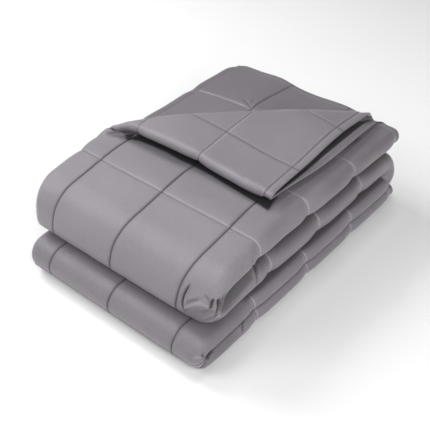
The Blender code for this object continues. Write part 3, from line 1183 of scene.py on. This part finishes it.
@dataclass(frozen=True)
class WovenCotton:
    """Grey cotton: a fine plain weave with slubs and a soft sheen, with painted shade in its seams,
    creases and folds, and painted highlights.
    """

    name: str = "woven grey cotton"
    light: Triple = (0.262, 0.236, 0.268)
    dark: Triple = (0.185, 0.165, 0.189)
    # The next line is the painted highlight's colour, and the one after it the tone of the painted
    # shade in seams and creases.
    highlight_colour: Triple = (0.42, 0.39, 0.43)
    groove_shade: float = 0.06
    seam_cool: float = 1.02
    roughness: float = 0.36
    sheen: float = 0.10
    sheen_roughness: float = 0.42
    gloss: float = 0.6
    thread_pitch: float = 0.00062
    slub_width: float = 0.0011
    slub_length: float = 0.010
    slub_detail: float = 3.0
    fleck_size: float = 0.0014
    broad_size: float = 0.09
    bump_depth: float = 0.00016
    seeds: tuple[float, ...] = (3.0, 9.0, 6.0, 4.0)
    tone_weights: tuple[float, ...] = (0.8, 0.5, 1.1, 0.6)
    tone_middle: float = 0.55
    rough_weights: tuple[float, ...] = (0.16, 0.16, 0.5)
    height_weights: tuple[float, ...] = (0.35, 0.6, 0.6)

    def material(self) -> Material:
        """Builds the material on the cloth's own UV map, which is in metres.

        Returns:
            The material.
        """
        material, tree, shader = shader_tree(self.name)
        u, v, _ = parts_of(tree, node_of(tree, "ShaderNodeUVMap", uv_map="cloth").outputs[0])
        across, along = self.slub_width, self.slub_length
        warp = noise(tree, u / across, v / along, self.seeds[0], self.slub_detail)
        weft = noise(tree, u / along, v / across, self.seeds[1], self.slub_detail)
        fleck = noise(tree, u / self.fleck_size, v / self.fleck_size, self.seeds[2])
        broad = noise(tree, u / self.broad_size, v / self.broad_size, self.seeds[3])
        # Painted shade in seams and creases, painted highlights, and painted shade in folds and
        # under the corner, read from the points.
        hollow, painted_highlight, painted_shade = (
            self.mark(tree, name) for name in ("hollow", "painted_highlight", "painted_shade")
        )
        tone = weighted((warp, weft, fleck, broad), self.tone_weights) + self.tone_middle
        tone = tone.math("MAXIMUM", 0.0).math("MINIMUM", 1.0)
        seam = (self.groove_shade, self.groove_shade, self.groove_shade * self.seam_cool, 1.0)
        colour = mixed(tree, tone, (*self.dark, 1.0), (*self.light, 1.0))
        # A painted highlight, then painted shade in seams and creases, then painted shade in folds
        # and under the turned corner.
        colour = mixed(tree, painted_highlight, colour, (*self.highlight_colour, 1.0))
        colour = mixed(tree, hollow, colour, seam, "MULTIPLY")
        colour = mixed(tree, painted_shade, colour, (0.0, 0.0, 0.0, 1.0), "MULTIPLY")
        tree.links.new(colour, shader.inputs["Base Color"])
        rough = weighted((warp, weft, hollow), self.rough_weights) + self.roughness
        tree.links.new(rough.socket, shader.inputs["Roughness"])
        height = weighted((self.weave(u, v), warp, weft), self.height_weights)
        inputs = {"Height": height, "Distance": self.bump_depth, "Strength": 1.0}
        bump = node_of(tree, "ShaderNodeBump", inputs)
        tree.links.new(bump.outputs[0], shader.inputs["Normal"])
        shader.inputs["Sheen Weight"].default_value = self.sheen
        shader.inputs["Sheen Roughness"].default_value = self.sheen_roughness
        shader.inputs["Specular IOR Level"].default_value = self.gloss
        return material

    def mark(self, tree: Tree, name: str) -> Reading:
        """Reads a number that the cloth's points carry."""
        node = node_of(tree, "ShaderNodeAttribute", attribute_name=name)
        return Reading(tree, node.outputs["Fac"])

    def weave(self, u: Reading, v: Reading) -> Reading:
        """A plain weave: threads that pass over and under each other."""
        turns = math.tau / self.thread_pitch
        return (u * turns).math("SINE") * (v * turns).math("SINE")


@dataclass(frozen=True)
class SewingThread:
    """Grey polyester thread with a light twist."""

    name: str = "grey sewing thread"
    colour: Triple = (0.085, 0.077, 0.088)
    twist_pitch: float = 0.0011
    slant: Pair = (0.7, 1.3)
    darkest: float = 0.72
    roughness: float = 0.5
    sheen: float = 0.2

    def material(self) -> Material:
        """Builds the material.

        Returns:
            The material.
        """
        material, tree, shader = shader_tree(self.name)
        x, y, z = parts_of(tree, node_of(tree, "ShaderNodeTexCoord").outputs["Object"])
        turns = (x + y * self.slant[0] + z * self.slant[1]) * (math.tau / self.twist_pitch)
        twist = turns.math("SINE") * 0.5 + 0.5
        darker = tuple(self.darkest * part for part in self.colour)
        colour = mixed(tree, twist, (*darker, 1.0), (*self.colour, 1.0))
        tree.links.new(colour, shader.inputs["Base Color"])
        shader.inputs["Roughness"].default_value = self.roughness
        shader.inputs["Sheen Weight"].default_value = self.sheen
        return material


@dataclass
class Blanket:
    """The quilted sheet, folded: a fine grid on its outer face and a coarse one on its inner."""

    cloth: Cloth
    pile: Pile
    finish: WovenCotton = WovenCotton()
    fine_step: float = 0.0070
    plain_step: float = 0.0120
    hidden_step: float = 0.0200
    fine_beside: tuple[float, ...] = (0.0009, 0.0026, 0.0050, 0.0085)
    plain_beside: tuple[float, ...] = (0.0015, 0.0050)
    edge_beside: tuple[float, ...] = (0.0005, 0.0016, 0.0050)
    wrap_step: float = 0.0036
    inner_wrap_share: float = 1.5
    turn_step: float = 0.0048
    crowding: float = 0.45
    rim_share: float = 1.3
    thin_share: float = 0.8
    # The next three set a stronger painted highlight on the seams down the right side.
    side_u: float = 0.327
    side_reach: float = 0.022
    side_highlight: float = 1.2
    turned_u: float = 0.690
    turned_seams: float = 0.70
    patches: tuple[Union[Patch, Band], ...] = (
        Patch((0.311, 0.380), (0.466, 0.517), 4),
        Patch((0.309, 0.352), (1.480, 1.536), 3),
        Patch((0.350, 0.645), (0.292, 0.322), 2),
        Patch((0.620, 0.700), (0.286, 0.330), 3),
        Patch((0.360, 0.378), (0.060, 0.286), 1),
        Patch((1.225, 1.300), (0.095, 0.160), 3),
        Patch((0.302, 0.334), (0.580, 0.616), 1),
        Patch((0.302, 0.334), (0.584, 0.614), 4),
        Patch((0.306, 0.335), (0.394, 0.412), 2),
        Patch((0.304, 0.332), (1.582, 1.604), 4),
        Band(
            ((0.7065, 0.265), (0.7421, 0.2238), (0.8108, 0.1485), (0.8897, 0.0621), (0.952, 0.004)),
            0.016,
            2,
        ),
    )
    # Each crease's dark is painted shade along its bottom, and its light a painted highlight along
    # it.
    wrinkles: tuple[Wrinkle, ...] = (
        # The near corner of the upper front fold.
        Wrinkle(
            (
                (0.37, 0.469), (0.3725, 0.4758), (0.3741, 0.4835), (0.3737, 0.4926),
                (0.3693, 0.498), (0.3629, 0.5028),
            ),
            0.0017, 0.003, 1.0, lips=0.5,
        ),
        Wrinkle(
            ((0.3715, 0.4975), (0.362, 0.4915), (0.3541, 0.4862), (0.3414, 0.4806)),
            0.0022, -0.0014, light=0.3, lips=0.6,
        ),
        Wrinkle(((0.369, 0.4905), (0.36, 0.485), (0.35, 0.48)), 0.0016, 0.001, 0.3),
        Wrinkle(
            (
                (0.333, 0.472), (0.3284, 0.4836), (0.3285, 0.4887), (0.3286, 0.4954),
                (0.33, 0.5051), (0.3345, 0.512),
            ),
            0.0023, 0.0042, 1.0, lips=0.35, fade=0.12,
        ),
        Wrinkle(
            ((0.3372, 0.4735), (0.337, 0.48), (0.3371, 0.487)),
            0.0015, 0.0022, 1.0, lips=0.5, fade=0.12,
        ),
        Wrinkle(
            ((0.3475, 0.4735), (0.3412, 0.4763), (0.335, 0.48)),
            0.0013, 0.0011, 0.35, lips=0.5,
        ),
        Wrinkle(((0.347, 0.483), (0.3406, 0.483), (0.334, 0.485)), 0.0013, -0.001, light=0.25),
        Wrinkle(((0.346, 0.492), (0.34, 0.489), (0.333, 0.489)), 0.0013, 0.001, 0.3, lips=0.5),
        Wrinkle(((0.344, 0.501), (0.339, 0.496), (0.333, 0.493)), 0.0013, -0.0009, light=0.2),
        # The near corner of the lower front fold.
        Wrinkle(
            (
                (0.311, 1.532), (0.314, 1.5206), (0.3194, 1.505), (0.3248, 1.5057),
                (0.3285, 1.5067), (0.339, 1.508),
            ),
            0.0021, 0.005, 1.0, lips=0.4, fade=0.12,
        ),
        Wrinkle(((0.3441, 1.4903), (0.3366, 1.4887), (0.327, 1.488)), 0.0014, -0.001, light=0.25),
        Wrinkle(((0.334, 1.484), (0.3302, 1.4876), (0.3255, 1.49)), 0.0014, 0.0018, 0.8),
        # The right side: a notch in strip 2, a soft crease in strip 1 and a notch in strip 4.
        Wrinkle(
            ((0.305, 0.609), (0.3125, 0.6045), (0.3161, 0.6015), (0.32, 0.5989), (0.33, 0.5925)),
            0.0021, 0.0034, 0.85, lips=0.5, fade=0.3,
        ),
        Wrinkle(
            ((0.311, 0.399), (0.32, 0.401), (0.3279, 0.4035), (0.333, 0.406)),
            0.002, 0.0016, 0.3,
        ),
        Wrinkle(
            ((0.308, 1.601), (0.3156, 1.5943), (0.3227, 1.5893), (0.328, 1.586)),
            0.0018, 0.0034, 0.8, lips=0.5, fade=0.3,
        ),
        # The left tip of the turned corner.
        Wrinkle(
            (
                (0.688, 0.32), (0.686, 0.318), (0.6799, 0.3128), (0.671, 0.305), (0.6552, 0.3027),
                (0.6425, 0.2927),
            ),
            0.0021, 0.0032, 1.0,
        ),
        Wrinkle(((0.6303, 0.3051), (0.6224, 0.2974)), 0.0013, 0.0012, 0.6),
        # The crossing behind the crease, from which four soft creases run out.
        Wrinkle(((1.2524, 0.1364), (1.27, 0.124), (1.286, 0.118)), 0.0024, 0.0013, 0.35),
        Wrinkle(((1.2524, 0.1364), (1.264, 0.118), (1.27, 0.102)), 0.0024, 0.001, 0.2),
        Wrinkle(((1.2524, 0.1364), (1.244, 0.118), (1.236, 0.106)), 0.0024, 0.001, 0.2),
        Wrinkle(((1.2524, 0.1364), (1.236, 0.128), (1.23, 0.124)), 0.0024, 0.0012, 0.3),
        # The rim along the crease of the turned corner, with a painted highlight along it.
        Wrinkle(
            (
                (0.7065, 0.265), (0.7229, 0.2416), (0.7421, 0.2238), (0.7766, 0.1864),
                (0.8108, 0.1485), (0.8532, 0.1001), (0.8897, 0.0621), (0.9299, 0.0261),
                (0.952, 0.004),
            ),
            0.0055, -0.0004, light=0.22, lips=0.0, fade=0.06,
        ),
    )
    # Painted shade: each outline's cloth is darkened by its tone, where shade falls.
    painted_shades: tuple[PaintedShade, ...] = (
        # Painted shadow under the near edge of the turned corner, inside it beside its hem, and
        # under that hem.
        PaintedShade(
            (
                (0.625, 0.27), (0.6339, 0.3151), (0.6141, 0.3077), (0.5944, 0.3056),
                (0.5647, 0.3035), (0.5323, 0.3052), (0.5092, 0.3039), (0.484, 0.304),
                (0.443, 0.3079), (0.4135, 0.3106), (0.3846, 0.3132), (0.3598, 0.3179),
                (0.3647, 0.2979), (0.369, 0.28),
            ),
            0.9,
        ),
        PaintedShade(
            (
                (0.35, 0.011), (0.35, 0.07), (0.69, 0.07), (0.69, 0.001), (0.6568, 0.0022),
                (0.634, 0.0034), (0.6154, 0.0048), (0.5934, 0.0066), (0.57, 0.009), (0.545, 0.011),
            ),
            0.9, 0.0012, Face.INNER,
        ),
        PaintedShade(
            (
                (0.3722, 0.275), (0.3732, 0.25), (0.37, 0.18), (0.3675, 0.11), (0.365, 0.07),
                (0.42, 0.07), (0.42, 0.275),
            ),
            0.6, 0.004,
        ),
        # Painted shade at the left tip of the turned corner, and on the layer behind its crease.
        PaintedShade(
            ((0.6517, 0.3076), (0.6396, 0.2929), (0.6289, 0.3157), (0.6358, 0.3179)),
            0.8, 0.0015,
        ),
        PaintedShade(rectangle((1.05, 1.45), (-0.05, 0.4)), 0.17),
        # Painted shade in the valleys between strips on the right side.
        PaintedShade(rectangle((0.28, 0.314), (-0.05, 2.1)), 0.6, 0.003),
        PaintedShade(rectangle((0.28, 0.318), (0.545, 1.0)), 0.5, 0.006),
        PaintedShade(rectangle((0.336, 0.38), (1.52, 2.05)), 0.35, 0.005),
        PaintedShade(rectangle((0.3425, 0.375), (0.62, 1.39)), 0.55, 0.003),
        # Painted shade on the lower front fold.
        PaintedShade(rectangle((-0.05, 1.45), (1.4, 1.58)), 0.16, 0.02),
        # Painted shade behind and under the near corner, and on the far end of the top's right
        # side.
        PaintedShade(
            (
                (0.311, 0.462), (0.311, 0.59), (0.32, 0.59), (0.327, 0.49), (0.33, 0.47),
                (0.323, 0.46),
            ),
            0.55, 0.003,
        ),
        PaintedShade(
            ((0.33, 0.496), (0.34, 0.486), (0.356, 0.49), (0.372, 0.5), (0.38, 0.54), (0.33, 0.54)),
            0.36, 0.006,
        ),
        PaintedShade(rectangle((0.3, 0.362), (-0.05, 0.21)), 0.18, 0.02),
    )

    def lines(self, total: float, seams: Array, zones: Sequence[Triple]) -> Array:
        """Places the grid's lines along one axis.

        Args:
            total: the cloth's size along the axis.
            seams: the places of the seams.
            zones: (start, end, step) rows that cover the axis.

        Returns:
            The places of the lines, from edge to edge.
        """
        kept = [0.0, total, *self.edge_beside, *(total - gap for gap in self.edge_beside)]
        for seam in seams:
            step = next(size for start, end, size in zones if start <= seam <= end)
            beside = self.fine_beside if step <= self.fine_step else self.plain_beside
            kept += [seam, *(seam + side * gap for gap in beside for side in (-1, 1))]
        for start, end, step in zones:
            for place in np.linspace(start, end, max(2, math.ceil((end - start) / step) + 1)):
                if min(abs(place - other) for other in kept) > self.crowding * step:
                    kept.append(float(place))
        return np.unique(np.round([place for place in kept if 0 <= place <= total], 7))

    def across_lines(self) -> Array:
        """The u of the outer face's lines."""
        spans = self.pile.fold.spans()
        steps = {
            Layer.FOURTH: self.hidden_step,
            Layer.OUTER_WRAP: self.wrap_step,
            Layer.FIRST: self.fine_step,
            Layer.EDGE_WRAP: self.wrap_step,
            Layer.SECOND: self.fine_step,
            Layer.INNER_WRAP: self.wrap_step * self.inner_wrap_share,
            Layer.THIRD: self.plain_step,
        }
        zones = [(*spans[layer], steps[layer]) for layer in Layer]
        return self.lines(self.cloth.width, self.cloth.seams(self.cloth.columns), zones)

    def along_lines(self) -> Array:
        """The v of the outer face's lines."""
        turn, hidden = self.turn_step, self.hidden_step
        steps = (self.fine_step, turn, hidden, turn, hidden, turn, self.plain_step)
        parts = self.pile.concertina.sections()
        zones = [(*part.v, step) for part, step in zip(parts, steps)]
        return self.lines(self.cloth.length, self.cloth.seams(self.cloth.rows), zones)

    def flat(self) -> Mesh:
        """Makes the flat cloth: its outer grid, its coarse inner grid and a wall between them.

        Returns:
            A closed flat mesh whose points carry the face that they belong to.
        """
        fine = (self.across_lines(), self.along_lines())
        coarse = tuple(self.thinned(lines) for lines in fine)
        points, faces = [], []
        for (us, vs), side in ((fine, Face.OUTER), (coarse, Face.INNER)):
            start = len(points)
            points += [(u, v, 0.0) for u in us for v in vs]
            count = len(vs)
            for i in range(len(us) - 1):
                for j in range(count - 1):
                    first = start + i * count + j
                    quad = (first, first + count, first + count + 1, first + 1)
                    faces.append(quad if side is Face.OUTER else quad[::-1])
        outer_count = len(fine[0]) * len(fine[1])
        faces += self.walls(fine, coarse, outer_count)
        mesh = bpy.data.meshes.new("flat_cloth")
        mesh.from_pydata(points, [], faces)
        values = np.full(len(points), Face.INNER.value, np.float32)
        values[:outer_count] = Face.OUTER.value
        mesh.attributes.new("face", "FLOAT", "POINT").data.foreach_set("value", values)
        self.refine(mesh)
        return mesh

    def refine(self, mesh: Mesh) -> None:
        """Cuts the outer face's grid finer where the cloth is creased or rolled."""
        work = bmesh.new()
        work.from_mesh(mesh)
        side = work.verts.layers.float["face"]
        for patch in self.patches:
            faces = [face for face in work.faces if all(point[side] > 0 for point in face.verts)]
            middles = np.array([face.calc_center_median()[:2] for face in faces])
            held = patch.holds(middles[:, 0], middles[:, 1])
            edges = {edge for face, inside in zip(faces, held) if inside for edge in face.edges}
            ordered = sorted(edges, key=lambda edge: edge.index)
            bmesh.ops.subdivide_edges(work, edges=ordered, cuts=patch.cuts, use_grid_fill=True)
            work.edges.index_update()
        work.to_mesh(mesh)
        work.free()

    def thinned(self, lines: Array) -> Array:
        """Keeps the lines beside the cut edge, and others at least a hidden step apart."""
        kept = [lines[0]]
        for place in lines[1:-1]:
            by_rim = place < self.cloth.hem * self.rim_share
            if by_rim or place - kept[-1] > self.hidden_step * self.thin_share:
                kept.append(place)
        return np.array([*kept, lines[-1]])

    def walls(
        self, fine: tuple[Array, Array], coarse: tuple[Array, Array], inner_start: int
    ) -> list[tuple[int, ...]]:
        """The narrow faces round the cut edge, from the outer grid's outline to the inner one's.

        Args:
            fine, coarse: the lines of the outer grid and of the inner one, along u and v.
            inner_start: the number of the inner grid's first point.

        Returns:
            The faces, as point numbers.
        """
        found: list[tuple[int, ...]] = []
        for axis in (0, 1):
            places, kept = fine[axis], coarse[axis]
            at = np.searchsorted(places, kept)
            for far in (False, True):
                outer = self.border(fine, axis, far, 0)
                inner = self.border(coarse, axis, far, inner_start)
                forward = far != (axis == 0)
                for k in range(len(kept) - 1):
                    run = outer[at[k] : at[k + 1] + 1]
                    ends = (inner[k], inner[k + 1])
                    if forward:
                        found.append((*run[::-1], *ends))
                    else:
                        found.append((*run, *ends[::-1]))
        return found

    def border(self, grid: tuple[Array, Array], axis: int, far: bool, start: int) -> list[int]:
        """The points along one side of a grid, in ascending order of place."""
        count_u, count_v = len(grid[0]), len(grid[1])
        if axis == 0:
            return [start + i * count_v + (count_v - 1 if far else 0) for i in range(count_u)]
        return [start + (count_u - 1 if far else 0) * count_v + j for j in range(count_v)]

    def build(self) -> Piece:
        """Makes the folded cloth.

        Returns:
            The blanket, in the row frame.
        """
        quilt = QuiltTree(self.cloth)
        values = {**quilt.inputs(), "Material": self.finish.material()}
        mesh = grow(self.flat(), quilt.build(), values, "blanket_cloth")
        points = points_of(mesh)
        corners = np.empty(len(mesh.loops), np.int32)
        mesh.loops.foreach_get("vertex_index", corners)
        layout = mesh.uv_layers.new(name="cloth")
        layout.data.foreach_set("uv", points[corners][:, :2].astype(np.float32).ravel())
        self.crease(mesh, points)
        put_points(mesh, self.pile.lay(points[:, 0], points[:, 1], points[:, 2]))
        return show(mesh, "blanket_cloth")

    def crease(self, mesh: Mesh, points: Array) -> None:
        """Presses the wrinkles into the outer face, and marks its painted shade and painted
        highlights.

        Args:
            mesh: the quilted flat cloth.
            points: its points, which are changed in place.
        """
        u, v = points[:, 0], points[:, 1]
        side, hollow, painted_highlight = (read_mark(mesh, name) for name in ("face", "hollow", "painted_highlight"))
        outer = side > 0
        for wrinkle in self.wrinkles:
            points[:, 2] -= np.where(outer, wrinkle.press(u, v), 0.0)
            line = np.where(outer, wrinkle.mark(u, v), 0.0)
            hollow = np.maximum(hollow, wrinkle.dark * line)
            painted_highlight = np.maximum(painted_highlight, wrinkle.light * line)
        # A stronger painted highlight on the seams down the right side.
        painted_highlight *= 1 + self.side_highlight * np.exp(-(((u - self.side_u) / self.side_reach) ** 2))
        write_mark(mesh, "painted_highlight", np.minimum(painted_highlight, 1.0))
        # The painted shade in the seams is weaker on the turned-back layers.
        write_mark(mesh, "hollow", hollow * np.where(u > self.turned_u, self.turned_seams, 1.0))
        # Painted shade in the folds and under the turned corner.
        painted_shade = np.zeros_like(u)
        for shade_area in self.painted_shades:
            share = np.where(side == shade_area.side.value, shade_area.tone * shade_area.share(u, v), 0.0)
            painted_shade = np.maximum(painted_shade, share)
        write_mark(mesh, "painted_shade", painted_shade)

    def dress(self, cloth: Piece) -> None:
        """Hangs the cloth on the root that it rides on, and hides the frame part that it stands
        for.
        """
        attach(cloth, "root")
        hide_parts("weighted_blanket")


@dataclass
class Seaming:
    """The thread in the seams, wherever the cloth's outer face shows."""

    cloth: Cloth
    pile: Pile
    finish: SewingThread = SewingThread()
    step: float = 0.004
    stand: float = 0.00005
    turned_v: float = 0.36
    spare: float = 0.02
    past_wrap: float = 0.01

    def shown(self) -> list[tuple[Pair, Pair]]:
        """The parts of the cloth that show, as (u range, v range) rows."""
        spans, parts = self.pile.fold.spans(), self.pile.concertina.sections()
        width, whole = self.cloth.width, (0.0, self.cloth.length)
        first = spans[Layer.OUTER_WRAP][0] - self.spare
        last = spans[Layer.EDGE_WRAP][1] + self.past_wrap
        back_start, back_end = parts[3].v
        return [
            ((first, last), whole),
            ((last, width), (0.0, self.turned_v)),
            ((0.0, first), (back_start - self.spare, back_end + self.spare)),
            ((0.0, self.spare), whole),
            ((width - self.spare, width), whole),
        ]

    def runs(self) -> list[Array]:
        """The flat line of each seam, cut to the parts that show."""
        found: list[Array] = []
        hem_u = (self.cloth.hem, self.cloth.width - self.cloth.hem)
        hem_v = (self.cloth.hem, self.cloth.length - self.cloth.hem)
        for (u0, u1), (v0, v1) in self.shown():
            low_v, high_v = max(v0, hem_v[0]), min(v1, hem_v[1])
            low_u, high_u = max(u0, hem_u[0]), min(u1, hem_u[1])
            for u in self.cloth.seams(self.cloth.columns):
                if u0 <= u < u1 and high_v > low_v:
                    found.append(self.line((u, low_v), (u, high_v)))
            for v in self.cloth.seams(self.cloth.rows):
                if v0 <= v < v1 and high_u - low_u > 2 * self.step:
                    found.append(self.line((low_u, v), (high_u, v)))
        return found

    def line(self, first: Pair, last: Pair) -> Array:
        """The points of one straight line on the flat cloth."""
        count = max(2, int(math.dist(first, last) / self.step) + 1)
        return np.linspace(first, last, count)

    def build(self) -> Piece:
        """Makes the thread.

        Returns:
            The stitches as one piece, in the row frame.
        """
        points: list[Triple] = []
        edges: list[tuple[int, int]] = []
        for run in self.runs():
            edges += [(len(points) + k, len(points) + k + 1) for k in range(len(run) - 1)]
            points += [(float(u), float(v), 0.0) for u, v in run]
        lines = bpy.data.meshes.new("seam_lines")
        lines.from_pydata(points, edges, [])
        sewing = StitchTree()
        values = {**sewing.inputs(), "Material": self.finish.material()}
        mesh = grow(lines, sewing.build(), values, "seam_stitches")
        flat = points_of(mesh)
        height = self.cloth.seam_thickness / 2 + self.stand + flat[:, 2]
        put_points(mesh, self.pile.lay(flat[:, 0], flat[:, 1], height))
        return show(mesh, "seam_stitches")

    def dress(self, thread: Piece) -> None:
        """Says what the thread rides on."""
        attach(thread, "root")


@dataclass(frozen=True)
class Lamp:
    """One soft light."""

    name: str
    place: Triple
    size: float
    power: float


@dataclass
class Studio:
    """A pale floor, soft light and the camera at the photograph's angle."""

    azimuth: float = 40.15
    elevation: float = 38.25
    camera_place: Triple = (0.6386, -0.7707, 0.8094)
    lens: float = 66.1
    sensor: float = 36.0
    floor_size: float = 14.0
    floor_tone: float = 0.89
    floor_speck: float = 0.02
    speck_scale: float = 3.0
    floor_roughness: float = 0.9
    lamps: tuple[Lamp, ...] = (
        Lamp("left light", (-1.84, 0.0, 1.64), 1.2, 37.0),
        Lamp("right light", (1.70, -0.98, 1.48), 1.4, 41.0),
        Lamp("front light", (-1.08, -1.55, 1.58), 1.2, 20.0),
        Lamp("top light", (0.0, 0.25, 2.3), 0.7, 12.0),
    )
    target: Triple = (0.0, 0.0, 0.1)
    sky: float = 0.05

    def light(self) -> None:
        """Adds the lamps and the even light all round."""
        for lamp in self.lamps:
            data = bpy.data.lights.new(lamp.name, "AREA")
            data.energy, data.size = lamp.power, lamp.size
            shown = add_piece(lamp.name, data)
            shown.location = lamp.place
            shown.rotation_euler = self.facing(np.subtract(lamp.place, self.target))
        world = bpy.data.worlds.new("studio")
        world.use_nodes = True
        background = world.node_tree.nodes["Background"]
        background.inputs["Color"].default_value = (1.0, 1.0, 1.0, 1.0)
        background.inputs["Strength"].default_value = self.sky
        bpy.context.scene.world = world
        bpy.context.scene.view_settings.view_transform = "Standard"

    def facing(self, away: Array) -> Triple:
        """The turn that points an object's -Z against the given direction."""
        flat = math.hypot(away[0], away[1])
        return (math.atan2(flat, away[2]), 0.0, math.atan2(away[0], -away[1]))

    def floor(self) -> Piece:
        """Lays the pale floor.

        Returns:
            The floor, which is part of the stage.
        """
        half = self.floor_size / 2
        mesh = bpy.data.meshes.new("studio_floor")
        corners = [(-half, -half, 0), (half, -half, 0), (half, half, 0), (-half, half, 0)]
        mesh.from_pydata(corners, [], [(0, 1, 2, 3)])
        material, tree, shader = shader_tree("pale floor")
        place = node_of(tree, "ShaderNodeTexCoord")
        inputs = {"Vector": place.outputs["Object"], "Scale": self.speck_scale}
        speck = node_of(tree, "ShaderNodeTexNoise", inputs)
        tone = Reading(tree, speck.outputs[0]) * self.floor_speck + self.floor_tone
        colour = node_of(tree, "ShaderNodeCombineXYZ", {0: tone, 1: tone, 2: tone})
        tree.links.new(colour.outputs[0], shader.inputs["Base Color"])
        shader.inputs["Roughness"].default_value = self.floor_roughness
        mesh.materials.append(material)
        return add_piece("studio_floor", mesh)

    def camera(self) -> None:
        """Sets the camera as the photograph's was."""
        data = bpy.data.cameras.new("camera")
        data.lens, data.sensor_width = self.lens, self.sensor
        shown = add_piece("camera", data)
        shown.location = self.camera_place
        shown.rotation_euler = (math.radians(90 - self.elevation), 0.0, math.radians(self.azimuth))
        bpy.context.scene.camera = shown

    def build(self) -> None:
        """Sets up the camera, the lamps and the floor."""
        self.camera()
        self.light()
        self.floor()


def report(piece: Piece) -> None:
    """Logs a piece's name and how many points and triangles it has."""
    triangles = sum(len(face.vertices) - 2 for face in piece.data.polygons)
    LOG.info("%s: %d points, %d triangles", piece.name, len(piece.data.vertices), triangles)


def main() -> None:
    """Builds and dresses the blanket, its seams and the studio, in order."""
    logging.basicConfig(level=logging.INFO, format="%(name)s: %(message)s")
    cloth = Cloth()
    pile = Pile(cloth, BookFold(cloth), Concertina(cloth))
    Studio().build()
    blanket = Blanket(cloth, pile)
    sheet = blanket.build()
    blanket.dress(sheet)
    report(sheet)
    seaming = Seaming(cloth, pile)
    thread = seaming.build()
    seaming.dress(thread)
    report(thread)


if __name__ == "__main__":
    main()
